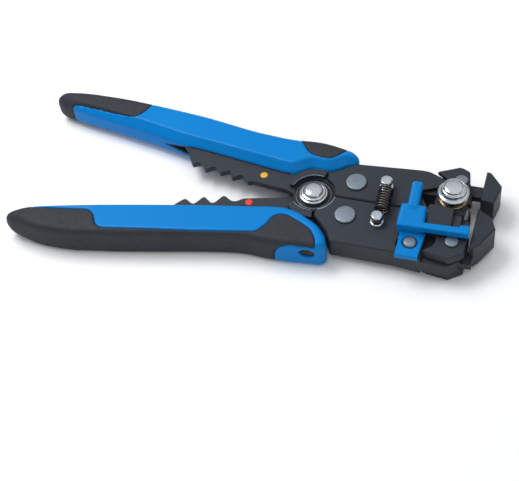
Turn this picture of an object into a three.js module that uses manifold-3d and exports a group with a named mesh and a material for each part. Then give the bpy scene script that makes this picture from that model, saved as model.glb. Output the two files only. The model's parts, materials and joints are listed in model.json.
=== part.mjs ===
import * as THREE from 'three';
import { mergeVertices } from 'three/addons/utils/BufferGeometryUtils.js';
import Module from 'manifold-3d';

const wasm = await Module();
wasm.setup();

// A self-adjusting wire stripper lying flat. Millimetres, Z up from the surface it lies on.
// The main pivot stands at X 0, Y 0 while building, the jaws point along +X and the
// upper handle is on the +Y side. The whole tool is shifted to its origin at the end.
const ORIGIN_SHIFT = [27.35, 3.964];

// Levels of the stacked layers.
const COVER_LOW = 0;
const COVER_HIGH = 15;
const LEVER_LOW = 2.5;
const LEVER_HIGH = 12.5;
const LOWER_CORE = [4.6, 7.4];
const UPPER_CORE = [7.6, 10.4];
const MIDDLE = [6.0, 9.0];
const RECESS_HIGH = 10.5;
const RECESS_LOW = 4.5;
const GAP = 0.2;

// Pivots.
const LOWER_LINK = [16.4, -9.7];
const UPPER_LINK = [16.8, 8.9];
const JAW_PIVOT = [45, -2];
const LOWER_BLADE_PIVOT = [62.8, -16.3];
const UPPER_BLADE_PIVOT = [60.4, 18.3];
const LOWER_POST = [30.3, -10.4];
const UPPER_POST = [30, 9.1];
const KNOB = [59.6, 3.7];
const STOP_SCREW = [46.1, -19.1];
const HUB_RADIUS = 9;
const HUB_RECESS = 9.6;
const HUB_SWEEP = 12.6;

function solid(geometry) {
  const bare = geometry.clone();
  bare.deleteAttribute('normal');
  bare.deleteAttribute('uv');
  const merged = mergeVertices(bare, 1e-4);
  const index = merged.index.array;
  const triangles = [];
  for (let i = 0; i < index.length; i += 3) {
    const [a, b, c] = [index[i], index[i + 1], index[i + 2]];
    if (a !== b && b !== c && a !== c) {
      triangles.push(a, b, c);
    }
  }
  return new wasm.Manifold(new wasm.Mesh({
    numProp: 3,
    vertProperties: Float32Array.from(merged.attributes.position.array),
    triVerts: Uint32Array.from(triangles),
  }));
}

function geometryOf(manifold) {
  const mesh = manifold.getMesh();
  const geometry = new THREE.BufferGeometry();
  geometry.setAttribute('position', new THREE.BufferAttribute(mesh.vertProperties, 3));
  geometry.setIndex(new THREE.BufferAttribute(mesh.triVerts, 1));
  const flat = geometry.toNonIndexed();
  flat.computeVertexNormals();
  return flat;
}

// A closed outline; a third number on a point is how far its corner is cut back and rounded.
function outline(points) {
  const shape = new THREE.Shape();
  const count = points.length;
  points.forEach(([x, y, cut = 0], i) => {
    const corner = new THREE.Vector2(x, y);
    const toward = (other) => {
      const edge = new THREE.Vector2(other[0] - x, other[1] - y);
      return edge.setLength(Math.min(cut, 0.45 * edge.length()));
    };
    const start = cut ? toward(points[(i + count - 1) % count]).add(corner) : corner;
    const end = cut ? toward(points[(i + 1) % count]).add(corner) : corner;
    if (i === 0) {
      shape.moveTo(start.x, start.y);
    } else {
      shape.lineTo(start.x, start.y);
    }
    if (cut) {
      shape.quadraticCurveTo(corner.x, corner.y, end.x, end.y);
    }
  });
  shape.closePath();
  return shape;
}

// A closed smooth outline through the given points.
function smoothOutline(points) {
  const loop = points.map(([x, y]) => new THREE.Vector3(x, y, 0));
  const curve = new THREE.CatmullRomCurve3(loop, true, 'centripetal');
  const along = curve.getPoints(2 * points.length).slice(0, -1);
  return new THREE.Shape(along.map((p) => new THREE.Vector2(p.x, p.y)));
}

function plate(shape, low, high, bevel = 0, bevelSegments = 1) {
  const geometry = new THREE.ExtrudeGeometry(shape, {
    depth: high - low - 2 * bevel,
    bevelEnabled: bevel > 0,
    bevelThickness: bevel,
    bevelSize: bevel,
    bevelOffset: -bevel,
    bevelSegments,
    curveSegments: 4,
  });
  geometry.translate(0, 0, low + bevel);
  return solid(geometry);
}

function block(x0, x1, y0, y1, z0, z1) {
  const geometry = new THREE.BoxGeometry(x1 - x0, y1 - y0, z1 - z0);
  geometry.translate((x0 + x1) / 2, (y0 + y1) / 2, (z0 + z1) / 2);
  return solid(geometry);
}

function disc([x, y], radius, low, high, sides = 28) {
  const geometry = new THREE.CylinderGeometry(radius, radius, high - low, sides);
  geometry.rotateX(Math.PI / 2);
  geometry.translate(x, y, (low + high) / 2);
  return solid(geometry);
}

// A bar with round ends between two points.
function link(a, b, halfWidth, low, high) {
  const along = new THREE.Vector2(b[0] - a[0], b[1] - a[1]);
  const side = new THREE.Vector2(-along.y, along.x).setLength(halfWidth);
  const corners = [
    [a[0] + side.x, a[1] + side.y],
    [b[0] + side.x, b[1] + side.y],
    [b[0] - side.x, b[1] - side.y],
    [a[0] - side.x, a[1] - side.y],
  ];
  return plate(outline(corners), low, high)
    .add(disc(a, halfWidth, low, high))
    .add(disc(b, halfWidth, low, high));
}

// A turned piece standing on Z; the profile runs from its lower end to its upper end.
function turned([x, y], profile, sides = 28) {
  const points = profile.map(([radius, z]) => new THREE.Vector2(radius, z));
  const geometry = new THREE.LatheGeometry(points, sides);
  geometry.rotateX(Math.PI / 2);
  geometry.translate(x, y, 0);
  return solid(geometry);
}

// Handle covers.
const upperCoverOutline = smoothOutline([
  [-133.6, 31], [-131.5, 35.4], [-125, 37], [-112, 37.2], [-98.5, 37], [-85, 36], [-72, 34.8],
  [-57.5, 33.1], [-35, 29.3], [-26, 28.4], [-16, 27.8], [-8, 28.4], [-2, 28.4], [4, 27.5],
  [8, 26.6], [11.5, 25.6], [14.6, 23.2], [14.4, 20.6], [10.6, 18.6], [6.7, 15.8], [3.6, 14.3],
  [0.2, 13.9], [-4, 14.2], [-7.4, 12.3], [-10.4, 10.1], [-13.5, 9.4], [-17.5, 9.7], [-29.8, 11.4],
  [-51.9, 14.5], [-65.3, 16.2], [-74.3, 18.0], [-83, 19.8], [-95, 21.9], [-103, 23.4],
  [-114.4, 25.2], [-126, 27.6], [-131, 28.9],
]);
const upperRearGripArea = outline([
  [-145, 20], [-117.6, 20], [-120.6, 24.4, 1.5], [-123.6, 26.7, 1.5], [-121.5, 28.2, 1], [-116.6, 28],
  [-99, 25.8, 6], [-92.6, 25.1, 1.5], [-90, 26.6, 1.5], [-88, 29.8], [-86.6, 33.4], [-86.4, 45], [-145, 45],
]);
const upperFrontGripArea = outline([
  [-14.6, 45], [-13.2, 26.6], [-11.4, 25.3, 1], [-8.2, 21.1], [-5.4, 19.2, 1.5], [-0.8, 18.5, 1],
  [2.8, 18.2, 1.5], [5.2, 20.2], [8.8, 24.4], [9.8, 45],
]);
const lowerCoverOutline = smoothOutline([
  [-129.4, -40.3], [-127.6, -37.2], [-123.4, -35.2], [-118, -33.6], [-109.6, -31.3], [-93, -27.3],
  [-75, -23.4], [-57, -19.7], [-40, -16.4], [-23.1, -13.4], [-15.5, -11.9], [-8.5, -11.4], [-3, -12.7],
  [1.6, -14.9], [5.7, -17.1], [9.2, -20.4], [11.8, -24.4], [12.4, -27.2], [10.2, -29.4], [4, -30],
  [-5.7, -31], [-14, -31.1], [-22, -30.7], [-29.5, -31.5], [-44.5, -34.3], [-63, -38.3],
  [-76, -41], [-88.7, -43.3], [-98, -44.8], [-109.2, -45.2], [-118.5, -44.4], [-126.4, -42.9],
]);
const lowerGripArea = outline([
  [-145, -30], [-119.2, -30], [-118.4, -34.2, 1], [-116.8, -35.2, 1], [-92.4, -31.2, 1.5],
  [-89.4, -33.4], [-86.6, -38.4, 1.5], [-83.6, -39.6, 1.5], [-70.4, -37.2], [-42.7, -32.4],
  [-17.6, -27.6, 1.5], [-14.3, -22.6], [-12.9, -18, 1.5], [-9.8, -16.2, 1], [-6.5, -16.3, 1],
  [-0.8, -18.8], [4.7, -21.7, 1.5], [8, -26, 1], [6.2, -27.8, 1], [-3, -27.8, 1], [-6.6, -29.4, 1],
  [-8, -45], [-8, -55], [-145, -55],
]);
const COVER_ROUND = 2;

function coverSolid(shape) {
  return plate(shape, COVER_LOW, COVER_HIGH, COVER_ROUND, 1);
}

// The channel along the inner edge of a cover and the pocket for the steel core.
const upperChannel = plate(outline([
  [-76, 10], [-76, 19.5, 1.5], [-66, 21, 2], [-30, 16.4], [-15, 14.4, 1.5], [-12, 7], [-30, 6], [-60, 8],
]), 4.2, 10.9);
const upperPocket = plate(outline([
  [-8, -5], [-13, 14], [-24, 15], [-66, 18], [-114.5, 27.4], [-115.5, 32.6], [-110, 33.6],
  [-58, 28.8], [-18, 24.4], [5, 21.5], [24, 18], [20, -5],
]), UPPER_CORE[0] - GAP, UPPER_CORE[1] + GAP);
const lowerChannel = plate(outline([
  [-76, -18], [-76, -27.5, 1.5], [-66, -26.5, 2], [-30, -19.5], [-16, -17, 1.5], [-13, -8], [-30, -6],
  [-60, -12],
]), 4.2, 10.9);
const lowerPocket = plate(outline([
  [-8, 0], [-16, -12], [-66, -22], [-114, -33.6], [-117.5, -38.6], [-113, -41.4], [-90, -39.4],
  [-60, -33.6], [-30, -27.6], [-4, -26], [8, -20], [24, -14], [20, 0],
]), LOWER_CORE[0] - GAP, LOWER_CORE[1] + GAP);
// Shallow oval recess in the side wall near the front of the lower cover.
const ovalRecess = (() => {
  const geometry = new THREE.CylinderGeometry(1, 1, 5, 24);
  geometry.scale(3.4, 1, 2.5);
  geometry.translate(4.6, -30.6, 8.4);
  return solid(geometry);
})();

const areaSolid = (shape) => plate(shape, -1, 16);

// Steel cores with the crimping teeth, the cutting edge and the hub.
const upperCoreOutline = outline([
  [-7, -2], [-11.8, 0.6], [-28.4, 2.5], [-30.6, 1.6, 0.8], [-34.2, 5.2, 1.2], [-38, 2.5, 0.9],
  [-40.3, 6.6, 1.2], [-44.1, 4.3, 0.9], [-47.4, 7.5, 1.2], [-51.4, 4.8, 0.9], [-54.6, 8.5, 1.2],
  [-58, 6.7, 0.9], [-60, 9.8, 1], [-63, 15], [-67.5, 19], [-112.6, 28.4, 1], [-113.6, 31.4, 1],
  [-110, 32.6, 1], [-58, 27.4], [-18, 22.8], [-8, 21], [4, 18.6], [8.6, 15.8, 1], [11, 12, 1], [8, 6.5],
]);
const lowerCoreOutline = outline([
  [-6, 5], [-11, 0.3, 0.8], [-12.9, -1.3], [-30.5, -5.7, 0.8], [-34.3, -8.7, 2.4], [-39.5, -5.6, 1.4],
  [-42.9, -11.7, 2.2], [-47.9, -8, 1.4], [-51.2, -13.7, 2], [-55.8, -10.8, 1.3], [-59.6, -15.4, 1],
  [-63, -23], [-112.4, -35.2, 1], [-115.4, -38.4, 1], [-112.6, -40, 1], [-90, -37.8], [-60, -32],
  [-30, -26], [-14, -24], [-4, -24], [6.4, -19], [10.6, -18.6, 1], [11.4, -14],
]);
const upperCoverBody = coverSolid(upperCoverOutline)
  .subtract(upperChannel)
  .subtract(upperPocket)
  .subtract(plate(upperCoreOutline, UPPER_CORE[0] - GAP, UPPER_CORE[1] + GAP));
const lowerCoverBody = coverSolid(lowerCoverOutline)
  .subtract(lowerChannel)
  .subtract(lowerPocket)
  .subtract(plate(lowerCoreOutline, LOWER_CORE[0] - GAP, LOWER_CORE[1] + GAP));
const upperCore = plate(upperCoreOutline, ...UPPER_CORE)
  .add(disc([0, 0], HUB_RADIUS, ...UPPER_CORE))
  .add(link([0, 0], UPPER_LINK, 5, ...UPPER_CORE))
  .subtract(disc([0, 0], 3.3, 0, 16))
  .subtract(disc(UPPER_LINK, 2.7, 0, 16));
const lowerCore = plate(lowerCoreOutline, ...LOWER_CORE)
  .add(disc([0, 0], HUB_RADIUS, ...LOWER_CORE))
  .add(link([0, 0], LOWER_LINK, 5.4, ...LOWER_CORE))
  .subtract(disc([0, 0], 3.1, 0, 16))
  .subtract(disc(LOWER_LINK, 2.9, 0, 16));

// Jaw levers.
const lowerLever = plate(outline([
  [9, -0.25], [39.9, -0.25], [41.5, 1.1], [45, 2.4], [48.5, 1.1], [49.4, -0.7], [57.5, -0.7, 1],
  [57.5, -13, 0.6], [67.2, -14.2, 1], [67.7, -21.6, 1.5], [62.2, -26.3, 2.5], [54, -25.8],
  [40, -24.4], [13.2, -24.2, 0.8], [10.6, -19.4], [6.6, -15.2], [3.2, -11.8], [3.6, -4],
]), LEVER_LOW, LEVER_HIGH, 0.5)
  .subtract(disc([0, 0], HUB_RECESS, 0, 16, 40))
  .subtract(disc([0, 0], HUB_SWEEP, 7.3, 10.7, 28))
  .subtract(block(-12, 24, -19.5, 4, LOWER_CORE[0] - GAP, LOWER_CORE[1] + GAP))
  .subtract(block(37.5, 52.5, -9, 5, MIDDLE[0] - GAP, MIDDLE[1] + GAP))
  .subtract(block(51.6, 80, -40, -12.8, RECESS_HIGH, 16))
  .subtract(block(51.6, 80, -40, -12.8, 0, RECESS_LOW))
  .subtract(block(52.5, 80, -22.4, -14.8, MIDDLE[0] - GAP, MIDDLE[1] + GAP))
  .subtract(disc(LOWER_LINK, 3, 0, 16))
  .subtract(disc(JAW_PIVOT, 2.3, 0, 16))
  .subtract(disc(LOWER_BLADE_PIVOT, 1.8, 0, 16, 20))
  .subtract(disc(LOWER_POST, 1.7, 9.4, 16, 20))
  .subtract(block(40.3, 47.8, -20.9, -17.3, 9.6, 16));

const upperLever = plate(outline([
  [9, 0.25], [44.8, 0.25], [44.8, 10.6, 0.5], [66, 10.6, 1], [66, 16], [63, 22, 2], [58, 23.4, 1],
  [50.6, 20], [48.4, 20.9, 0.8], [46, 21.9, 1.5], [41.8, 21.9], [15, 19.8, 0.8], [11.4, 17.6],
  [7.7, 14.3], [3.8, 11.4], [4, 4],
]), LEVER_LOW, LEVER_HIGH, 0.5)
  .subtract(plate(outline([
    [53.4, 18.1], [51.7, 13.7], [44, 10.4], [44, 5], [80, 5], [80, 30], [49.2, 30], [48.7, 21],
  ]), RECESS_HIGH, 16))
  .subtract(block(49, 80, 5, 30, 0, RECESS_LOW))
  .subtract(disc([0, 0], HUB_RECESS, 0, 16, 40))
  .subtract(disc([0, 0], HUB_SWEEP, 4.3, 7.7, 28))
  .subtract(block(-12, 24, -4, 16.4, UPPER_CORE[0] - GAP, UPPER_CORE[1] + GAP))
  .subtract(disc(JAW_PIVOT, 5.7, 0, MIDDLE[0] - GAP))
  .subtract(disc(JAW_PIVOT, 5.7, MIDDLE[1] + GAP, 16))
  .add(plate(outline([
    [40.6, -2], [49.4, -2], [49.2, 2], [47.6, 6], [44.6, 10.8], [40.6, 8],
  ]), ...MIDDLE))
  .add(disc(JAW_PIVOT, 4.4, ...MIDDLE))
  .subtract(block(52.5, 80, 14, 20.6, MIDDLE[0] - GAP, MIDDLE[1] + GAP))
  .subtract(disc(UPPER_LINK, 3, 0, 16))
  .subtract(disc(JAW_PIVOT, 2.3, 0, 16))
  .subtract(disc(UPPER_BLADE_PIVOT, 1.8, 0, 16, 20))
  .subtract(disc(UPPER_POST, 1.7, 9.2, 16, 20));

// Gripping jaws with shanks that sit in the levers.
const JAW_LOW = 2;
const JAW_HIGH = 15;
const lowerGripJaw = plate(outline([
  [70.2, 3.9], [76.9, -0.7], [78.9, -5.7], [74.1, -15], [72, -17.5], [70.2, -17.5],
]), JAW_LOW, JAW_HIGH, 0.5)
  .add(block(53.2, 72, -21.9, -15.1, ...MIDDLE))
  .subtract(disc(LOWER_BLADE_PIVOT, 1.7, 0, 16, 20));
const upperGripJaw = plate(outline([
  [70.2, 24.5], [72.2, 24.1], [77.6, 17.7], [77.6, 15.3], [76, 7.6], [70.2, 8.5],
]), JAW_LOW, JAW_HIGH, 0.5)
  .add(block(53.2, 72, 14.3, 20.3, ...MIDDLE))
  .subtract(disc(UPPER_BLADE_PIVOT, 1.7, 0, 16, 20));

// Blade holders on the near and far side of each jaw, and the blades between them.
const lowerHolderOutline = outline([
  [51.9, -22.7], [55.4, -19.6], [56.2, -17.4], [55.8, -13.3], [61.4, -12.7], [61.4, -4],
  [68.2, -4], [68.8, -15.7], [68.7, -20.7], [63.2, -24.9], [54.4, -23.7],
]);
const upperHolderOutline = outline([
  [49.6, 21.8], [56.5, 25.2], [58.2, 26.1], [60, 25.9], [63.2, 24.4, 1], [65.4, 12],
  [67, 6.2], [60.6, 6.2], [58.6, 10], [54.3, 14], [54.3, 18.6],
]);
const BLADE_Z = [4.35, 10.65];
const lowerHolderNear = plate(lowerHolderOutline, 10.7, 15, 0.4)
  .subtract(disc(LOWER_BLADE_PIVOT, 1.8, 0, 16, 20));
const lowerHolderFar = plate(lowerHolderOutline, 0, 4.3, 0.4)
  .subtract(disc(LOWER_BLADE_PIVOT, 1.8, -1, 16, 20))
  .subtract(disc(LOWER_BLADE_PIVOT, 3.2, -1, 1.2, 20));
const upperHolderNear = plate(upperHolderOutline, 10.7, 13.2, 0.4)
  .subtract(disc(UPPER_BLADE_PIVOT, 1.8, 0, 16, 20));
const upperHolderFar = plate(upperHolderOutline, 0, 4.3, 0.4)
  .subtract(disc(UPPER_BLADE_PIVOT, 1.8, -1, 16, 20))
  .subtract(disc(UPPER_BLADE_PIVOT, 3.2, -1, 1.2, 20));
const lowerBlade = plate(outline([
  [65.4, -12], [65.4, -3.4], [66.3, -2.3], [67.2, -3.4], [67.2, -12],
]), ...BLADE_Z);
const upperBlade = plate(outline([
  [64, 9.8], [64, 5.6], [64.9, 4.5], [65.8, 5.6], [65.8, 9.8],
]), ...BLADE_Z);

// Rivets, pins and posts.
const pivotRivet = turned([0, 0], [
  [0, 1.8], [5.2, 1.8], [6.1, 2.5], [6.1, 4.4], [3, 4.4], [3, 10.6], [6.3, 10.6], [6.3, 12.2],
  [5.9, 12.6], [5.45, 12.7], [5.45, 13.3], [5.0, 13.6], [4.5, 13.6], [4.3, 14.2], [3.3, 14.8],
  [1.8, 15.1], [0, 15.2],
], 26);
const linkRivet = (at) => turned(at, [
  [0, 1.4], [4.2, 1.4], [4.6, 1.8], [4.6, 2.4], [2.6, 2.4], [2.6, 12.6], [4.6, 12.6],
  [4.6, 13.2], [4.2, 13.6], [0, 13.6],
], 22);
const jawPivotPin = turned(JAW_PIVOT, [
  [0, 2.6], [2.2, 2.6], [2.2, 12.4], [0, 12.4],
], 20);
const bladeRivet = (at, top) => turned(at, [
  [0, 0.3], [2.9, 0.3], [2.9, 1.1], [1.5, 1.1], [1.5, top], [2.85, top], [2.85, top + 0.7],
  [2.5, top + 1], [0, top + 1],
], 18);
const springPost = (at) => turned(at, [
  [0, 9.6], [1.6, 9.6], [1.6, 12.6], [3.1, 12.6], [3.1, 13.3], [2.7, 13.6], [1.7, 13.7],
  [1.5, 15.7], [2.65, 15.9], [2.65, 17.1], [2.2, 17.6], [0, 17.6],
], 16);

// Return spring between the posts: a close-wound coil with a hook at each end.
class SpringPath extends THREE.Curve {
  getPoint(t) {
    const turns = 9;
    const low = -6.6;
    const high = 5.8;
    const radius = 2.8;
    const lead = 0.07;
    const height = 16.0;
    if (t < lead) {
      const s = t / lead;
      return new THREE.Vector3(30.3 + radius * s, -8.3 + (low + 8.3) * s, 14.7 + (height - 14.7) * s);
    }
    if (t > 1 - lead) {
      const s = (1 - t) / lead;
      return new THREE.Vector3(30.0 + radius * s, 7.0 + (high - 7.0) * s, 14.7 + (height - 14.7) * s);
    }
    const s = (t - lead) / (1 - 2 * lead);
    const angle = 2 * Math.PI * turns * s;
    const middle = 30.3 - 0.3 * s;
    return new THREE.Vector3(
      middle + radius * Math.cos(angle),
      low + (high - low) * s,
      height + radius * Math.sin(angle),
    );
  }
}
const springSection = new THREE.Shape();
springSection.absarc(0, 0, 0.42, 0, 2 * Math.PI);
const returnSpring = solid(new THREE.ExtrudeGeometry(springSection, {
  steps: 76,
  curveSegments: 3,
  bevelEnabled: false,
  extrudePath: new SpringPath(),
}));

// Tension block, knob and washer.
function crossSection(points, x0, x1) {
  const shape = outline(points);
  const geometry = new THREE.ExtrudeGeometry(shape, { depth: x1 - x0, bevelEnabled: false, curveSegments: 3 });
  geometry.rotateY(Math.PI / 2);
  geometry.rotateX(Math.PI / 2);
  geometry.translate(x0, 0, 0);
  return solid(geometry);
}
const tensionBlock = crossSection([
  [-11.3, 15.4], [-11.3, 16.8], [-3.4, 20.6], [-2.8, 20.6], [-2.8, 15.4],
], 51, 61.2)
  .add(block(51, 57.2, -11.3, -1.6, 12.55, 15.6))
  .add(plate(outline([
    [52.6, -4], [65.4, -4], [66, 3.7, 2], [63, 9.8, 3], [56.4, 9.8, 3], [52.6, 3.7, 2],
  ]), 15.4, 18.2))
  .add(crossSection([[-9.4, 15.4], [-9.4, 16.2], [-2, 18.2], [-2, 15.4]], 60.8, 64.8))
  .subtract(disc(KNOB, 2.3, 10, 20));
const knobWasher = disc(KNOB, 6.2, 18.3, 19.1, 24).subtract(disc(KNOB, 2.4, 15, 22));
const tensionKnob = turned(KNOB, [
  [0, 15.2], [2.1, 15.2], [2.1, 19.3], [5.5, 19.3], [5.75, 21.6], [6.5, 22], [6.5, 22.9],
  [6.1, 23.3], [5.2, 23.5], [5.0, 24.6], [4.6, 25.0], [4.2, 25.0], [4.15, 25.8], [3.2, 26.5],
  [1.7, 26.8], [0, 26.9],
], 24);

// Length stop: clip, riser, arm and thumb tab in one moulding, and its screw.
const lengthStop = plate(outline([
  [40.5, -26.4], [40.4, -13.2], [50.6, -13.2], [50.9, -26.4],
]), 12.6, 14.1)
  .add(block(40.5, 50.9, -26.4, -25.8, 11.6, 14.1))
  .add(block(38.4, 50.2, -14.9, -5.6, 14, 19.5))
  .add(block(38.4, 50.2, -13, -4.6, 12.6, 16))
  .add(plate(outline([
    [38.6, -15.2], [38.6, -12.4], [65, -11.4], [65, -10.2], [69, -10.0], [69.2, -14.4],
  ]), 16.2, 19.5))
  .add(crossSection([[-12.6, 19.3], [-12.6, 19.6], [-6, 22.6], [-4.2, 22.6], [-4.2, 19.3]], 38.6, 50.2))
  .add(crossSection([[-7, 20], [-6.2, 22.5], [3, 26.3, 0.8], [4.4, 24.6, 0.8], [-4.4, 20]], 42.4, 47.6))
  .subtract(disc(STOP_SCREW, 3.3, 13.2, 30, 24))
  .subtract(disc(STOP_SCREW, 1.6, 11, 30, 20));
const stopScrew = turned(STOP_SCREW, [
  [0, 9.9], [1.5, 9.9], [1.5, 13.3], [2.95, 13.3], [2.95, 14.3], [2.5, 14.8], [0, 14.9],
], 18);

const STEEL_DARK = { color: '#373d45', roughness: 0.55, metalness: 0.35 };
const SATIN = { color: '#76828d', roughness: 0.4, metalness: 0.8 };
const CHROME = { color: '#b4bcc2', roughness: 0.15, metalness: 1 };
const BLUE = { color: '#0684d3', roughness: 0.38, metalness: 0 };
const BLACK = { color: '#2f3036', roughness: 0.7, metalness: 0 };
const BRASS = { color: '#c9a45c', roughness: 0.3, metalness: 1 };
const BLADE = { color: '#aab2b8', roughness: 0.25, metalness: 0.9 };

// Soft grips are cut out of the covers, so the two fit edge to edge.
const rearGrip = upperCoverBody.intersect(areaSolid(upperRearGripArea));
const frontGrip = upperCoverBody.intersect(areaSolid(upperFrontGripArea));
const lowerGrip = lowerCoverBody.intersect(areaSolid(lowerGripArea)).subtract(ovalRecess);
const upperCover = upperCoverBody
  .subtract(areaSolid(upperRearGripArea))
  .subtract(areaSolid(upperFrontGripArea));
const lowerCover = lowerCoverBody
  .subtract(areaSolid(lowerGripArea))
  .subtract(ovalRecess);

const pieces = {
  lower_handle: {
    lower_handle_core: [lowerCore, STEEL_DARK],
    lower_handle_cover: [lowerCover, BLUE],
    lower_handle_grip: [lowerGrip, BLACK],
    main_pivot_rivet: [pivotRivet, CHROME],
    lower_link_rivet: [linkRivet(LOWER_LINK), SATIN],
  },
  upper_handle: {
    upper_handle_core: [upperCore, STEEL_DARK],
    upper_handle_cover: [upperCover, BLUE],
    upper_rear_grip: [rearGrip, BLACK],
    upper_front_grip: [frontGrip, BLACK],
    upper_link_rivet: [linkRivet(UPPER_LINK), SATIN],
  },
  lower_lever: {
    lower_jaw_lever: [lowerLever, STEEL_DARK],
    jaw_pivot_pin: [jawPivotPin, SATIN],
    lower_spring_post: [springPost(LOWER_POST), CHROME],
    lower_gripping_jaw: [lowerGripJaw, STEEL_DARK],
    lower_blade_rivet: [bladeRivet(LOWER_BLADE_PIVOT, 15.05), SATIN],
    tension_block: [tensionBlock, STEEL_DARK],
    knob_washer: [knobWasher, BRASS],
    return_spring: [returnSpring, STEEL_DARK],
  },
  upper_lever: {
    upper_jaw_lever: [upperLever, STEEL_DARK],
    upper_spring_post: [springPost(UPPER_POST), CHROME],
    upper_gripping_jaw: [upperGripJaw, STEEL_DARK],
    upper_blade_rivet: [bladeRivet(UPPER_BLADE_PIVOT, 13.25), SATIN],
  },
  lower_blade_carrier: {
    lower_blade_holder_near: [lowerHolderNear, STEEL_DARK],
    lower_blade_holder_far: [lowerHolderFar, STEEL_DARK],
    lower_stripping_blade: [lowerBlade, BLADE],
  },
  upper_blade_carrier: {
    upper_blade_holder_near: [upperHolderNear, STEEL_DARK],
    upper_blade_holder_far: [upperHolderFar, STEEL_DARK],
    upper_stripping_blade: [upperBlade, BLADE],
  },
  tension_knob_body: {
    tension_knob: [tensionKnob, CHROME],
  },
  length_stop_body: {
    length_stop: [lengthStop, BLUE],
    length_stop_screw: [stopScrew, SATIN],
  },
};

const group = new THREE.Group();
group.name = 'wire_stripper';
group.position.set(ORIGIN_SHIFT[0], ORIGIN_SHIFT[1], 0);
for (const [bodyName, nodes] of Object.entries(pieces)) {
  const body = new THREE.Group();
  body.name = bodyName;
  for (const [name, [manifold, look]] of Object.entries(nodes)) {
    const mesh = new THREE.Mesh(geometryOf(manifold), new THREE.MeshStandardMaterial(look));
    mesh.name = name;
    body.add(mesh);
  }
  group.add(body);
}

export default group;
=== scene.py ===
import json
import math

import bpy
import numpy as np
from mathutils import Matrix, Vector


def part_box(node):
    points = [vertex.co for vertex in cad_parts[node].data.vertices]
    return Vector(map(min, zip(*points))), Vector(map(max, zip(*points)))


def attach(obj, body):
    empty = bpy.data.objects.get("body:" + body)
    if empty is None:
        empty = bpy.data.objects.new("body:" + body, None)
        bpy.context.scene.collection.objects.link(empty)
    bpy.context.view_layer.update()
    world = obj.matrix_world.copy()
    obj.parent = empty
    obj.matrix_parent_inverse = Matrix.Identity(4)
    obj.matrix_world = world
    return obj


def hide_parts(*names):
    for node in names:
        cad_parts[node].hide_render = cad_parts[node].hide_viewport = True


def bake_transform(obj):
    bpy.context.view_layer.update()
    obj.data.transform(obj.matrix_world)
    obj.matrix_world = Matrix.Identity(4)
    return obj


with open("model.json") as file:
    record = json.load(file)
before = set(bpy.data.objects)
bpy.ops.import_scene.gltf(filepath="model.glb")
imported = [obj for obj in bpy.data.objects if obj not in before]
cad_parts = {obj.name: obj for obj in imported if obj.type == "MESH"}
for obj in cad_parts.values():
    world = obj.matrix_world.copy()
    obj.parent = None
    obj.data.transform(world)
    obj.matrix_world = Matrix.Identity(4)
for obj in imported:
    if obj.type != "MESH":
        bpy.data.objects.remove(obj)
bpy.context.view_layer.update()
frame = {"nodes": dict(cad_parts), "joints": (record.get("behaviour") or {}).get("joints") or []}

# The looks of a self-adjusting wire stripper lying flat. Shapes are in millimetres from the
# main pivot, with Z up from the surface it lies on, and are moved to the row frame at the end.
MM = 0.001
JOINTS = {joint["name"]: joint for joint in frame["joints"]}
PIVOT = Vector(JOINTS["main_pivot"]["pos_m"]) / MM
HANDLE_MIDDLE = 7.5
HANDLE_HALF = 7.5


def centre(node):
    """The middle of a CAD node in X and Y, in millimetres from the main pivot."""
    low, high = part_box(node)
    middle = (low + high) / 2 / MM
    return middle.x - PIVOT.x, middle.y - PIVOT.y


# ---------------------------------------------------------------- materials

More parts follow.
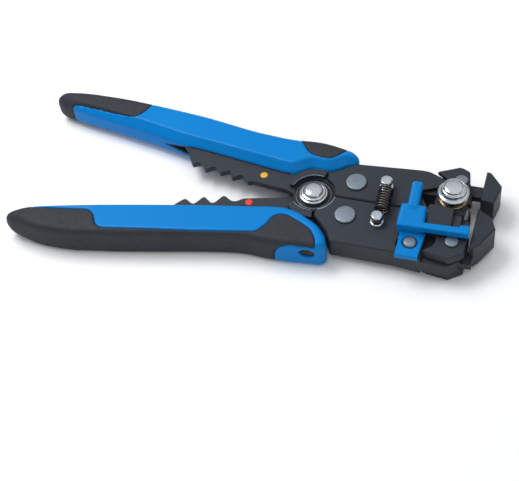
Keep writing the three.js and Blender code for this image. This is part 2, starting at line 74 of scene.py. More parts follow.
class Look:
    """A node material with a Principled shader."""

    def __init__(self, name, colour, roughness, metallic=0.0, **sockets):
        self.material = bpy.data.materials.new(name)
        self.material.use_nodes = True
        self.tree = self.material.node_tree
        self.shader = self.tree.nodes["Principled BSDF"]
        self.colour = linear(colour)
        self.shader.inputs["Base Color"].default_value = self.colour
        self.shader.inputs["Roughness"].default_value = roughness
        self.shader.inputs["Metallic"].default_value = metallic
        for socket, value in sockets.items():
            self.shader.inputs[socket.replace("_", " ")].default_value = value

    def node(self, kind, **settings):
        node = self.tree.nodes.new(kind)
        for key, value in settings.items():
            if hasattr(node, key):
                setattr(node, key, value)
            else:
                node.inputs[key].default_value = value
        return node

    def link(self, source, target):
        self.tree.links.new(source, target)

    def place(self):
        return self.node("ShaderNodeTexCoord").outputs["Object"]

    def noise(self, scale, detail=3.0, roughness=0.5, stretch=None):
        noise = self.node("ShaderNodeTexNoise", Scale=scale, Detail=detail, Roughness=roughness)
        place = self.place()
        if stretch:
            mapping = self.node("ShaderNodeMapping")
            mapping.inputs["Scale"].default_value = stretch
            self.link(place, mapping.inputs["Vector"])
            place = mapping.outputs["Vector"]
        self.link(place, noise.inputs["Vector"])
        return noise.outputs["Fac"]

    def ramp(self, value, low, high, start, end):
        ramp = self.node("ShaderNodeMapRange")
        ramp.inputs["From Min"].default_value = low
        ramp.inputs["From Max"].default_value = high
        ramp.inputs["To Min"].default_value = start
        ramp.inputs["To Max"].default_value = end
        self.link(value, ramp.inputs["Value"])
        return ramp.outputs["Result"]

    def mix_colour(self, share, other):
        """Blends the colour so far towards another one."""
        mix = self.node("ShaderNodeMix", data_type="RGBA")
        self.link(share, mix.inputs[0])
        socket = self.shader.inputs["Base Color"]
        if socket.is_linked:
            self.link(socket.links[0].from_socket, mix.inputs[6])
        else:
            mix.inputs[6].default_value = self.colour
        mix.inputs[7].default_value = linear(other)
        self.link(mix.outputs[2], socket)

    def roughen(self, value, low, high):
        self.link(self.ramp(value, 0.35, 0.65, low, high), self.shader.inputs["Roughness"])

    def bump(self, value, height_mm, strength=1.0):
        bump = self.node("ShaderNodeBump")
        bump.inputs["Strength"].default_value = strength
        bump.inputs["Distance"].default_value = height_mm * MM
        socket = self.shader.inputs["Normal"]
        if socket.is_linked:
            self.link(socket.links[0].from_socket, bump.inputs["Normal"])
        self.link(value, bump.inputs["Height"])
        self.link(bump.outputs["Normal"], socket)


def linear(rgb):
    """An sRGB colour, 0 to 255, as linear RGBA."""
    shares = [channel / 255 for channel in rgb]
    return [s / 12.92 if s <= 0.04045 else ((s + 0.055) / 1.055) ** 2.4 for s in shares] + [1.0]


def blue_plastic():
    look = Look("blue_plastic", (0, 125, 200), 0.38, Specular_IOR_Level=0.08, Coat_Weight=0.08,
                Coat_Roughness=0.12)
    look.mix_colour(look.ramp(look.noise(45, 2), 0.3, 0.7, 0.0, 0.2), (0, 110, 190))
    look.roughen(look.noise(260, 3), 0.3, 0.42)
    look.bump(look.noise(1700, 3), 0.012, 0.5)
    return look.material


def black_grip():
    look = Look("black_grip", (48, 51, 58), 0.66, Specular_IOR_Level=0.25)
    look.mix_colour(look.ramp(look.noise(60, 3), 0.3, 0.7, 0.0, 0.35), (40, 40, 46))
    grain = look.node("ShaderNodeTexVoronoi", Scale=1500.0)
    look.link(look.place(), grain.inputs["Vector"])
    look.bump(grain.outputs["Distance"], 0.03, 0.45)
    look.bump(look.noise(3200, 2), 0.01, 0.5)
    look.roughen(look.noise(500, 3), 0.56, 0.68)
    return look.material


def dark_steel(name="dark_steel", colour=(44, 50, 58), roughness=(0.44, 0.56)):
    look = Look(name, colour, 0.5, 0.15, Specular_IOR_Level=0.32)
    look.mix_colour(look.ramp(look.noise(90, 4), 0.3, 0.7, 0.0, 0.3), (42, 44, 50))
    look.roughen(look.noise(420, 3), *roughness)
    look.bump(look.noise(2600, 2), 0.008, 0.6)
    return look.material


def satin_steel():
    look = Look("satin_steel", (132, 143, 153), 0.36, 0.85)
    look.mix_colour(look.ramp(look.noise(240, 4), 0.3, 0.7, 0.0, 0.3), (116, 126, 136))
    look.roughen(look.noise(900, 3), 0.28, 0.42)
    look.bump(look.noise(3500, 2), 0.006, 0.7)
    return look.material


def chrome():
    look = Look("chrome", (198, 204, 208), 0.14, 1.0)
    look.roughen(look.noise(700, 2), 0.1, 0.18)
    look.bump(look.noise(2400, 2), 0.002, 0.5)
    return look.material


def spring_steel():
    look = Look("spring_steel", (96, 94, 92), 0.3, 0.95)
    look.mix_colour(look.ramp(look.noise(600, 3), 0.35, 0.65, 0.0, 0.4), (60, 58, 58))
    look.roughen(look.noise(1500, 2), 0.22, 0.38)
    return look.material


def brass():
    look = Look("brass", (206, 172, 128), 0.3, 1.0)
    look.mix_colour(look.ramp(look.noise(500, 3), 0.35, 0.65, 0.0, 0.3), (150, 116, 84))
    look.roughen(look.noise(1200, 2), 0.2, 0.34)
    return look.material


def blade_steel():
    look = Look("blade_steel", (170, 177, 184), 0.26, 0.95)
    look.roughen(look.noise(600, 3, stretch=(1, 12, 1)), 0.2, 0.34)
    look.bump(look.noise(900, 3, stretch=(1, 14, 1)), 0.004, 0.6)
    return look.material


def paint(name, colour):
    look = Look(name, colour, 0.4)
    look.mix_colour(look.ramp(look.noise(800, 3), 0.35, 0.7, 0.0, 0.25), [c * 0.8 for c in colour])
    look.bump(look.noise(1800, 2), 0.02, 0.4)
    return look.material


def floor_look():
    look = Look("floor_plain", (252, 252, 252), 0.8, Specular_IOR_Level=0.2)
    look.mix_colour(look.ramp(look.noise(6, 2), 0.3, 0.7, 0.0, 0.3), (250, 250, 250))
    return look.material


BLUE = blue_plastic()
BLACK = black_grip()
STEEL = dark_steel()
# Near-black steel for the disc that is painted shade in the hub recess.
RECESS_SHADE = dark_steel("hub_painted_shade_steel", (16, 20, 28), (0.3, 0.42))
SATIN = satin_steel()
CHROME = chrome()
SPRING = spring_steel()
BRASS = brass()
BLADE = blade_steel()
YELLOW = paint("yellow_paint", (222, 176, 22))
RED = paint("red_paint", (238, 42, 34))


# ---------------------------------------------------------------- mesh tools

def make_piece(name, points, faces, material, body, replaced=(), crease_deg=35):
    """A mesh piece from points in millimetres from the main pivot."""
    shift = np.array([PIVOT.x, PIVOT.y, 0.0])
    mesh = bpy.data.meshes.new(name)
    mesh.from_pydata(((np.asarray(points) + shift) * MM).tolist(), [], faces)
    mesh.validate()
    mesh.shade_smooth()
    mesh.set_sharp_from_angle(angle=math.radians(crease_deg))
    mesh.materials.append(material)
    piece = bpy.data.objects.new(name, mesh)
    bpy.context.scene.collection.objects.link(piece)
    if body:
        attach(piece, body)
    if replaced:
        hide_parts(*replaced)
    return piece


def rounded_profile(profile, radius=0.12, steps=3):
    """The profile of a turned piece with its corners rounded."""
    result = [profile[0]]
    for before, corner, after in zip(profile, profile[1:], profile[2:]):
        before, corner, after = (np.array(p, float) for p in (before, corner, after))
        ways = [before - corner, after - corner]
        cuts = [way / np.linalg.norm(way) * min(radius, 0.4 * np.linalg.norm(way)) for way in ways]
        for step in range(steps + 1):
            t = step / steps
            point = corner + (1 - t) ** 2 * cuts[0] + t ** 2 * cuts[1]
            result.append(tuple(point))
    return result + [profile[-1]]


def turned(name, at, profile, material, body, replaced=(), radius=0.12, sides=72):
    """A turned piece standing on Z. The profile is (radius, height) from its lower end up."""
    profile = rounded_profile(profile, radius)
    inner = profile[1:-1]
    points = [(at[0], at[1], profile[0][1])]
    for r, z in inner:
        for side in range(sides):
            angle = 2 * math.pi * side / sides
            points.append((at[0] + r * math.cos(angle), at[1] + r * math.sin(angle), z))
    points.append((at[0], at[1], profile[-1][1]))
    top = len(points) - 1
    faces = []
    for side in range(sides):
        after = (side + 1) % sides
        faces.append((0, 1 + after, 1 + side))
        for ring in range(len(inner) - 1):
            a, b = 1 + ring * sides, 1 + (ring + 1) * sides
            faces.append((a + side, a + after, b + after, b + side))
        last = 1 + (len(inner) - 1) * sides
        faces.append((last + side, last + after, top))
    return make_piece(name, points, faces, material, body, replaced)


def tube(path, radius, sides=12):
    """Points and faces of a round wire along a path, with closed ends."""
    path = np.array(path, float)
    ahead = np.gradient(path, axis=0)
    ahead /= np.linalg.norm(ahead, axis=1)[:, None]
    side = np.cross(ahead[0], (0.3, 0.2, 0.9))
    points, faces = [], []
    for centre_point, way in zip(path, ahead):
        side = side - way * np.dot(side, way)
        side /= np.linalg.norm(side)
        up = np.cross(way, side)
        for k in range(sides):
            angle = 2 * math.pi * k / sides
            points.append(centre_point + radius * (math.cos(angle) * side + math.sin(angle) * up))
    for ring in range(len(path) - 1):
        for k in range(sides):
            after = (k + 1) % sides
            a, b = ring * sides, (ring + 1) * sides
            faces.append((a + k, a + after, b + after, b + k))
    faces.append(tuple(range(sides - 1, -1, -1)))
    last = (len(path) - 1) * sides
    faces.append(tuple(range(last, last + sides)))
    return points, faces


def smooth_loop(points, per_side=6):
    """A closed centripetal Catmull-Rom curve through the points."""
    points = np.array(points, float)
    count = len(points)
    curve = []
    for i in range(count):
        a, b, c, d = (points[(i + k - 1) % count] for k in range(4))
        t0, t1 = 0.0, np.linalg.norm(b - a) ** 0.5
        t2 = t1 + np.linalg.norm(c - b) ** 0.5
        t3 = t2 + np.linalg.norm(d - c) ** 0.5
        for step in range(per_side):
            t = t1 + (t2 - t1) * step / per_side
            ab = a * (t1 - t) / (t1 - t0) + b * (t - t0) / (t1 - t0)
            bc = b * (t2 - t) / (t2 - t1) + c * (t - t1) / (t2 - t1)
            cd = c * (t3 - t) / (t3 - t2) + d * (t - t2) / (t3 - t2)
            abc = ab * (t2 - t) / (t2 - t0) + bc * (t - t0) / (t2 - t0)
            bcd = bc * (t3 - t) / (t3 - t1) + cd * (t - t1) / (t3 - t1)
            curve.append(abc * (t2 - t) / (t2 - t1) + bcd * (t - t1) / (t2 - t1))
    return [tuple(p) for p in curve]


def cut_corners(points, steps=4):
    """A closed outline; a third number on a point is how far its corner is rounded back."""
    count = len(points)
    result = []
    for i, point in enumerate(points):
        corner = np.array(point[:2], float)
        cut = point[2] if len(point) > 2 else 0
        if not cut:
            result.append(tuple(corner))
            continue
        ways = [np.array(points[(i + k) % count][:2], float) - corner for k in (-1, 1)]
        cuts = [way / np.linalg.norm(way) * min(cut, 0.45 * np.linalg.norm(way)) for way in ways]
        for step in range(steps + 1):
            t = step / steps
            result.append(tuple(corner + (1 - t) ** 2 * cuts[0] + t ** 2 * cuts[1]))
    return result


# ---------------------------------------------------------------- solids as distance fields

def outline_distance(outline, x, y):
    """Distance to a closed outline, negative inside."""
    nearest = np.full(np.broadcast(x, y).shape, 1e9)
    inside = np.zeros(nearest.shape, bool)
    for (ax, ay), (bx, by) in zip(outline, outline[1:] + outline[:1]):
        ex, ey = bx - ax, by - ay
        t = np.clip(((x - ax) * ex + (y - ay) * ey) / (ex * ex + ey * ey + 1e-12), 0, 1)
        nearest = np.minimum(nearest, (x - ax - t * ex) ** 2 + (y - ay - t * ey) ** 2)
        if ay != by:
            inside ^= ((ay > y) != (by > y)) & (x < ex * (y - ay) / ey + ax)
    return np.where(inside, -1.0, 1.0) * np.sqrt(nearest)


def line_side(line, x, y):
    """Distance to an open line, positive on its left side."""
    nearest = np.full(np.broadcast(x, y).shape, 1e9)
    side = np.zeros(nearest.shape)
    for (ax, ay), (bx, by) in zip(line, line[1:]):
        ex, ey = bx - ax, by - ay
        t = np.clip(((x - ax) * ex + (y - ay) * ey) / (ex * ex + ey * ey), 0, 1)
        away = (x - ax - t * ex) ** 2 + (y - ay - t * ey) ** 2
        cross = ex * (y - ay) - ey * (x - ax)
        closer = away < nearest
        nearest = np.where(closer, away, nearest)
        side = np.where(closer, np.sign(cross), side)
    return side * np.sqrt(nearest)


def smooth_max(a, b, k):
    """The larger of two fields, rounded over a width k."""
    h = np.clip(0.5 + 0.5 * (a - b) / k, 0, 1)
    return b + (a - b) * h + k * h * (1 - h)


def smooth_min(a, b, k):
    return -smooth_max(-a, -b, k)


def smooth_step(value, low, high):
    t = np.clip((value - low) / (high - low), 0, 1)
    return t * t * (3 - 2 * t)


def rounded_box(x, y, z, low, high, radius):
    """Distance to a box with rounded edges."""
    middle = [(a + b) / 2 for a, b in zip(low, high)]
    half = [(b - a) / 2 - radius for a, b in zip(low, high)]
    q = [np.abs(p - m) - h for p, m, h in zip((x, y, z), middle, half)]
    outside = np.sqrt(sum(np.maximum(part, 0) ** 2 for part in q))
    return outside + np.minimum(np.maximum(np.maximum(q[0], q[1]), q[2]), 0) - radius


CORNERS = [(i, j, k) for i in (0, 1) for j in (0, 1) for k in (0, 1)]
EDGES = [(a, b) for a in CORNERS for b in CORNERS if sum(b) == sum(a) + 1
         and all(q >= p for p, q in zip(a, b))]


def surface_of(field, low, high, step):
    """The surface where the field is 0, as points and quads, by surface nets."""
    axes = [np.arange(a - 1.5 * step, b + 2.5 * step, step) for a, b in zip(low, high)]
    x, y, z = axes[0][:, None, None], axes[1][None, :, None], axes[2][None, None, :]
    values = np.broadcast_to(field(x, y, z), [len(axis) for axis in axes])
    inside = values < 0
    shape = [n - 1 for n in values.shape]
    count = np.zeros(shape, int)
    for i, j, k in CORNERS:
        count += inside[i:i + shape[0], j:j + shape[1], k:k + shape[2]]
    mixed = (count > 0) & (count < 8)
    index = np.full(shape, -1)
    cells = np.argwhere(mixed)
    index[mixed] = np.arange(len(cells))
    total = np.zeros((len(cells), 3))
    hits = np.zeros(len(cells))
    for start, end in EDGES:
        a = values[tuple((cells + start).T)]
        b = values[tuple((cells + end).T)]
        crossed = (a < 0) != (b < 0)
        share = np.where(crossed, a / np.where(crossed, a - b, 1), 0)
        point = np.array(start) + share[:, None] * (np.array(end) - np.array(start))
        total += np.where(crossed[:, None], point, 0)
        hits += crossed
    points = np.array([axis[0] for axis in axes]) + (cells + total / hits[:, None]) * step
    points = settle(field, points, step)
    faces = []
    for axis in range(3):
        u, v = (axis + 1) % 3, (axis + 2) % 3
        first = np.take(inside, range(inside.shape[axis] - 1), axis)
        second = np.take(inside, range(1, inside.shape[axis]), axis)
        for outward in (True, False):
            where = np.argwhere(first & ~second if outward else ~first & second)
            quad = []
            for du, dv in ((1, 1), (0, 1), (0, 0), (1, 0)):
                cell = where.copy()
                cell[:, u] -= du
                cell[:, v] -= dv
                quad.append(index[tuple(cell.T)])
            quad = np.stack(quad if outward else quad[::-1], 1)
            faces.append(quad)
    return points, np.concatenate(faces).tolist()


def settle(field, points, step):
    """Moves points onto the field's surface, at most a share of a step each time."""
    small = step * 0.1
    for _ in range(3):
        x, y, z = points.T
        value = field(x, y, z)
        slope = np.stack([
            field(x + small, y, z) - value,
            field(x, y + small, z) - value,
            field(x, y, z + small) - value,
        ], 1) / small
        steep = np.maximum((slope ** 2).sum(1), 0.05)
        move = -slope * (value / steep)[:, None]
        points = points + np.clip(move, -0.3 * step, 0.3 * step)
    return points


# ---------------------------------------------------------------- handles

UPPER_OUTLINE = smooth_loop([
    (-133.6, 31), (-131.5, 35.4), (-125, 37), (-112, 37.2), (-98.5, 37), (-85, 36), (-72, 34.8),
    (-57.5, 33.1), (-35, 29.3), (-26, 28.4), (-16, 27.8), (-8, 28.4), (-2, 28.4), (4, 27.5),
    (8, 26.6), (11.5, 25.6), (14.6, 23.2), (14.4, 20.6), (10.6, 18.6), (6.7, 15.8), (3.6, 14.3),
    (0.2, 13.9), (-4, 14.2), (-7.4, 12.3), (-10.4, 10.1), (-13.5, 9.4), (-17.5, 9.7), (-29.8, 11.4),
    (-51.9, 14.5), (-65.3, 16.2), (-74.3, 18.0), (-83, 19.8), (-95, 21.9), (-103, 23.4),
    (-114.4, 25.2), (-126, 27.6), (-131, 28.9),
])
UPPER_OUTER_SIDE = [(-150, 31), (-100, 31), (-60, 26.5), (-20, 22.5), (6, 22), (30, 24)]
UPPER_REAR_GRIP = cut_corners([
    (-145, 20), (-119.4, 20), (-122.6, 24.4, 1.5), (-125.8, 27, 1.5), (-123.2, 28.5, 1),
    (-116.6, 28), (-99, 25.8, 6), (-92.6, 25.1, 1.5), (-90, 26.6, 1.5), (-88, 29.8), (-86.6, 33.4),
    (-86.4, 45), (-145, 45),
])
UPPER_FRONT_GRIP = cut_corners([
    (-14.6, 45), (-13.2, 26.6), (-11.4, 25.3, 1), (-8.2, 21.1), (-5.4, 19.2, 1.5), (-0.8, 18.5, 1),
    (2.8, 18.2, 1.5), (5.2, 20.2), (8.8, 24.4), (9.8, 45),
])
UPPER_CHANNEL = cut_corners([
    (-76, 10), (-76, 19.5, 1.5), (-66, 21, 2), (-30, 16.4), (-15, 14.4, 1.5), (-12, 7), (-30, 6),
    (-60, 8),
])
LOWER_OUTLINE = smooth_loop([
    (-129.4, -40.3), (-127.6, -37.2), (-123.4, -35.2), (-118, -33.6), (-109.6, -31.3),
    (-93, -27.3), (-75, -23.4), (-57, -19.7), (-40, -16.4), (-23.1, -13.4), (-15.5, -11.9),
    (-8.5, -11.4), (-3, -12.7), (1.6, -14.9), (5.7, -17.1), (9.2, -20.4), (11.8, -24.4),
    (12.4, -27.2), (10.2, -29.4), (4, -30), (-5.7, -31), (-14, -31.1), (-22, -30.7),
    (-29.5, -31.5), (-44.5, -34.3), (-63, -38.3), (-76, -41), (-88.7, -43.3), (-98, -44.8),
    (-109.2, -45.2), (-118.5, -44.4), (-126.4, -42.9),
])
LOWER_OUTER_SIDE = [(40, -24), (0, -25), (-30, -26), (-60, -32), (-100, -39), (-150, -41)]
LOWER_GRIP = cut_corners([
    (-145, -30), (-119.2, -30), (-118.4, -34.2, 1), (-116.8, -35.2, 1), (-92.4, -31.2, 1.5),
    (-89.4, -33.4), (-86.6, -38.4, 1.5), (-83.6, -39.6, 1.5), (-70.4, -37.2), (-42.7, -32.4),
    (-17.6, -27.6, 1.5), (-14.3, -22.6), (-12.9, -18, 1.5), (-9.8, -16.2, 1), (-6.5, -16.3, 1),
    (-0.8, -18.8), (4.7, -21.7, 1.5), (7.8, -26.4, 2), (8.8, -31), (9.2, -50), (-145, -50),
])
LOWER_CHANNEL = cut_corners([
    (-76, -18), (-76, -27.5, 1.5), (-66, -26.5, 2), (-30, -19.5), (-16, -17, 1.5), (-13, -8),
    (-30, -6), (-60, -12),
])
# Run and drop of the sloped inner face, radius of the outer edge, and radius at the rear tip.
UPPER_EDGES = (3.5, 4.0, 4.0, 5.2)
LOWER_EDGES = (1.8, 2.0, 2.6, 7.0)
TIP_SPAN = (112, 130)     # the rounding grows over this run towards the rear tip
SIDE_BLEND = 2.5          # half the width over which the inner face turns into the outer one
EDGE_SOFTNESS = 0.9
CHANNEL_HALF = 3.35
CHANNEL_REAR = 76
CHANNEL_TAPER = 16
CHANNEL_SOFTNESS = 0.3
SHADE_SHEET = 0.6               # thickness of the dark sheet in the channels, which is painted shade
SHADE_SHEET_BACK = 0.15         # how far the painted-shade sheet stays below the outside of the handle
SEAM = 0.7                # width of the rounding where two colours meet
COLOUR_GAP = 0.05
HANDLE_STEP = 0.5
FINE_STEP = 0.3


def channel_field(channel, x, y, z):
    """The channel for the core, which closes to a point at its rear end."""
    half = CHANNEL_HALF * np.clip((x + CHANNEL_REAR) / CHANNEL_TAPER, 0, 1)
    from_middle = np.abs(z - HANDLE_MIDDLE)
    return smooth_max(outline_distance(channel, x, y) + 0 * z, from_middle - half,
                      CHANNEL_SOFTNESS)


def handle_field(outline, outer_side, channel, edges):
    """The moulded handle: round outside, a sloped face inside and, if given, a channel."""
    run, drop, outer_round, tip_round = edges

    def field(x, y, z):
        edge = outline_distance(outline, x, y)
        depth = np.maximum(-edge, 0)
        outer = smooth_step(line_side(outer_side, x, y), -SIDE_BLEND, SIDE_BLEND)
        sloped = smooth_min(HANDLE_HALF - drop + depth * drop / run,
                            np.full(depth.shape, HANDLE_HALF), 0.5)
        rounding = outer_round + (tip_round - outer_round) * smooth_step(-x, *TIP_SPAN)
        back = np.clip(rounding - depth, 0, rounding)
        rounded = HANDLE_HALF - rounding + np.sqrt(rounding ** 2 - back ** 2)
        outer = np.maximum(outer, smooth_step(-x, *TIP_SPAN))
        top = sloped + (rounded - sloped) * outer
        from_middle = np.abs(z - HANDLE_MIDDLE)
        body = smooth_max(edge + 0 * z, from_middle - top, EDGE_SOFTNESS)
        if channel is None:
            return body
        return smooth_max(body, -channel_field(channel, x, y, z), 0.35)
    return field


upper_handle = handle_field(UPPER_OUTLINE, UPPER_OUTER_SIDE, UPPER_CHANNEL, UPPER_EDGES)
lower_handle = handle_field(LOWER_OUTLINE, LOWER_OUTER_SIDE, LOWER_CHANNEL, LOWER_EDGES)
upper_whole = handle_field(UPPER_OUTLINE, UPPER_OUTER_SIDE, None, UPPER_EDGES)
lower_whole = handle_field(LOWER_OUTLINE, LOWER_OUTER_SIDE, None, LOWER_EDGES)


def channel_shade_field(whole, channel):
    """A thin dark sheet just inside the channel walls: painted shade in the gap between the core
    and the handle.
    """

    def field(x, y, z):
        slot = channel_field(channel, x, y, z)
        shell = np.abs(slot + 0.5 * SHADE_SHEET) - 0.5 * SHADE_SHEET
        return np.maximum(shell, whole(x, y, z) + SHADE_SHEET_BACK)
    return field


WINDOW_CENTRE = (-1.4, 4.4)   # X and Z of the blue window in the lower handle's side
WINDOW_HALF = (8.0, 8.6)
WINDOW_FRONT = 12.0           # the blue goes on below the recess to the front band
WINDOW_FRONT_TOP = 12.6
RECESS_AT = (4.7, 8.4)        # X and Z of the dark oval recess
RECESS_HALF = (3.3, 2.5)
SIDE_Y = -26.5                # the window and recess lie beyond this, on the outer side
RECESS_Y = -28.4              # depth of the recess
RECESS_SOFTNESS = 0.4
RECESS_DISC = (28.7, 0.45)    # distance and half thickness of the dark disc in it


def window_field(x, y, z):
    """The blue window on the outer side wall, negative inside."""
    across = (x - WINDOW_CENTRE[0]) / WINDOW_HALF[0]
    up = (z - WINDOW_CENTRE[1]) / WINDOW_HALF[1]
    oval = (np.sqrt(across ** 2 + up ** 2) - 1) * WINDOW_HALF[0]
    below = np.where(z < WINDOW_CENTRE[1], (np.abs(across) - 1) * WINDOW_HALF[0], oval)
    front = np.maximum(np.abs(x - WINDOW_CENTRE[0] - WINDOW_FRONT / 2) - WINDOW_FRONT / 2,
                       z - WINDOW_FRONT_TOP)
    return np.maximum(np.minimum(below, front), y - SIDE_Y)


def recess_oval(x, z):
    """Distance to the edge of the oval recess, negative inside."""
    across = (x - RECESS_AT[0]) / RECESS_HALF[0]
    up = (z - RECESS_AT[1]) / RECESS_HALF[1]
    return (np.sqrt(across ** 2 + up ** 2) - 1) * RECESS_HALF[1]


def recess_field(x, y, z):
    """The dark oval recess in the side wall, negative inside."""
    return smooth_max(recess_oval(x, z), y - RECESS_Y, RECESS_SOFTNESS)


def recess_floor_field(x, y, z):
    """A dark disc at the bottom of the recess."""
    distance, half_thickness = RECESS_DISC
    return smooth_max(recess_oval(x, z) - 0.1, np.abs(y + distance) - half_thickness, 0.2)


def upper_grips(x, y, z):
    """Distance to the two black areas of the upper handle, negative inside."""
    rear = outline_distance(UPPER_REAR_GRIP, x, y)
    front = outline_distance(UPPER_FRONT_GRIP, x, y)
    return np.minimum(rear, front) + 0 * z


def lower_grip(x, y, z):
    """Distance to the black area of the lower handle, negative inside."""
    area = outline_distance(LOWER_GRIP, x, y) + 0 * z
    return np.maximum(area, -window_field(x, y, z))


def moulded(name, field, low, high, material, body, slot, replaced, step=HANDLE_STEP):
    """A piece whose surface is where a distance field is 0."""
    points, faces = surface_of(field, low, high, step)
    return make_piece(name, points, faces, material, body, replaced, 50)


def make_handles():
    upper_box = ((-135, 8.5, 0), (15.5, 38, 15))
    lower_box = ((-131, -46, 0), (13.5, -10.5, 15))
    moulded(
        "upper_handle_blue",
        lambda x, y, z: smooth_max(upper_handle(x, y, z), COLOUR_GAP - upper_grips(x, y, z), SEAM),
        *upper_box, BLUE, "upper_handle", "blue_plastic", ["upper_handle_cover"])
    moulded(
        "upper_handle_rear_black",
        lambda x, y, z: smooth_max(
            upper_handle(x, y, z), outline_distance(UPPER_REAR_GRIP, x, y) + COLOUR_GAP + 0 * z,
            SEAM),
        (-135, 20, 0), (-85, 38, 15), BLACK, "upper_handle", "black_grip", ["upper_rear_grip"])
    moulded(
        "upper_handle_front_black",
        lambda x, y, z: smooth_max(
            upper_handle(x, y, z), outline_distance(UPPER_FRONT_GRIP, x, y) + COLOUR_GAP + 0 * z,
            SEAM),
        (-16, 16, 0), (11, 30, 15), BLACK, "upper_handle", "black_grip", ["upper_front_grip"])
    moulded(
        "lower_handle_blue",
        lambda x, y, z: smooth_max(
            smooth_max(lower_handle(x, y, z), COLOUR_GAP - lower_grip(x, y, z), SEAM),
            -recess_field(x, y, z), RECESS_SOFTNESS),
        *lower_box, BLUE, "lower_handle", "blue_plastic", ["lower_handle_cover"])
    moulded(
        "lower_handle_black",
        lambda x, y, z: smooth_max(
            smooth_max(lower_handle(x, y, z), lower_grip(x, y, z) + COLOUR_GAP, SEAM),
            -recess_field(x, y, z), RECESS_SOFTNESS),
        *lower_box, BLACK, "lower_handle", "black_grip", ["lower_handle_grip"])
    moulded(
        "oval_recess_floor", recess_floor_field,
        (0.5, -30, 5), (9, -27.5, 12), BLACK, "lower_handle", "black_grip", [], FINE_STEP)
    # The dark sheets in the channels are painted shade where the cores go in.
    moulded(
        "upper_channel_painted_shade", channel_shade_field(upper_whole, UPPER_CHANNEL),
        (-78, 8, 3.5), (-11, 22, 11.5), BLACK, "upper_handle", "black_grip", [], FINE_STEP)
    moulded(
        "lower_channel_painted_shade", channel_shade_field(lower_whole, LOWER_CHANNEL),
        (-78, -29, 3.5), (-11, -11, 11.5), BLACK, "lower_handle", "black_grip", [], FINE_STEP)


# ---------------------------------------------------------------- rivets, pins, knob and spring

def link_rivet(name, node, body):
    turned(name, centre(node), [
        (0, 1.4), (4.2, 1.4), (4.6, 1.8), (4.6, 2.4), (2.6, 2.4), (2.6, 12.55), (4.5, 12.55),
        (4.6, 12.7), (4.6, 13.15), (4.25, 13.6), (0, 13.62),
    ], SATIN, body, [node], 0.1)


def blade_rivet(name, node, body):
    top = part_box(node)[1].z / MM
    turned(name, centre(node), [
        (0, 0.3), (2.9, 0.3), (2.9, 1.1), (1.5, 1.1), (1.5, top - 1.0), (2.85, top - 1.0),
        (2.85, top - 0.35), (2.5, top), (0, top),
    ], SATIN, body, [node], 0.12)


def spring_post(name, node, body):
    turned(name, centre(node), [
        (0, 9.6), (1.6, 9.6), (1.6, 12.55), (3.1, 12.55), (3.1, 13.3), (2.7, 13.65), (1.7, 13.75),
        (1.5, 14.1), (1.5, 15.6), (2.3, 15.8), (2.65, 16.1), (2.65, 17.0), (2.15, 17.55),
        (0, 17.6),
    ], CHROME, body, [node], 0.14)


def make_fasteners():
    turned("main_pivot_dome", centre("main_pivot_rivet"), [
        (0, 1.8), (5.2, 1.8), (6.1, 2.5), (6.1, 4.4), (3, 4.4), (3, 10.6), (6.3, 10.6), (6.3, 11.7),
        (6.05, 12.15), (5.6, 12.3), (5.5, 12.2), (5.4, 12.35), (5.4, 12.9), (5.15, 13.25),
        (4.55, 13.35), (4.45, 13.2), (4.35, 13.35), (4.3, 14.05), (3.9, 14.55), (3.0, 14.95),
        (1.5, 15.15), (0, 15.2),
    ], CHROME, "lower_handle", ["main_pivot_rivet"], 0.16)
    link_rivet("lower_link_rivet_head", "lower_link_rivet", "lower_handle")
    link_rivet("upper_link_rivet_head", "upper_link_rivet", "upper_handle")
    blade_rivet("lower_blade_rivet_head", "lower_blade_rivet", "lower_lever")
    blade_rivet("upper_blade_rivet_head", "upper_blade_rivet", "upper_lever")
    spring_post("lower_spring_post_turned", "lower_spring_post", "lower_lever")
    spring_post("upper_spring_post_turned", "upper_spring_post", "upper_lever")
    turned("length_stop_screw_head", centre("length_stop_screw"), [
        (0, 9.9), (1.5, 9.9), (1.5, 13.3), (2.95, 13.3), (2.95, 14.2), (2.35, 14.85), (0, 14.9),
    ], SATIN, "length_stop_body", ["length_stop_screw"], 0.14)
    turned("tension_knob_cap", centre("tension_knob"), [
        (0, 15.2), (2.1, 15.2), (2.1, 19.3), (5.5, 19.3), (5.55, 21.4), (5.8, 21.8), (6.45, 22.0),
        (6.55, 22.3), (6.5, 22.8), (6.1, 23.1), (5.4, 23.2), (5.25, 23.4), (5.2, 24.9),
        (4.95, 25.5), (4.55, 25.7), (4.45, 25.65), (4.35, 25.8), (4.1, 26.3), (3.4, 26.65),
        (1.7, 26.87), (0, 26.9),
    ], CHROME, "tension_knob_body", ["tension_knob"], 0.16)
    turned("knob_washer_ring", centre("knob_washer"), [
        (0, 18.3), (5.75, 18.3), (5.9, 18.4), (5.9, 18.8), (5.75, 18.95), (0, 19.0),
    ], BRASS, "lower_lever", ["knob_washer"], 0.08)


COIL_TURNS = 9
COIL_SHIFT = 1.0          # the coil hangs to one side of the posts
COIL_RADIUS = 2.75
COIL_HEIGHT = 16.0
WIRE = 0.42
STEPS_PER_TURN = 20
COIL_GAPS = (3.9, 3.4)    # from the lower and the upper post to the ends of the coil
HOOK_RADIUS = 2.0
HOOK_HEIGHT = 14.8
HOOK_TURN = 210           # degrees
HOOK_STEPS = 16
LOWER_HOOK_START = -150
UPPER_HOOK_START = -60


def hook(post, start):
    """Part of a circle round the neck of a post, from a start angle in degrees."""
    path = []
    for step in range(HOOK_STEPS + 1):
        angle = math.radians(start + HOOK_TURN * step / HOOK_STEPS)
        path.append((post[0] + HOOK_RADIUS * math.cos(angle),
                     post[1] + HOOK_RADIUS * math.sin(angle), HOOK_HEIGHT))
    return path


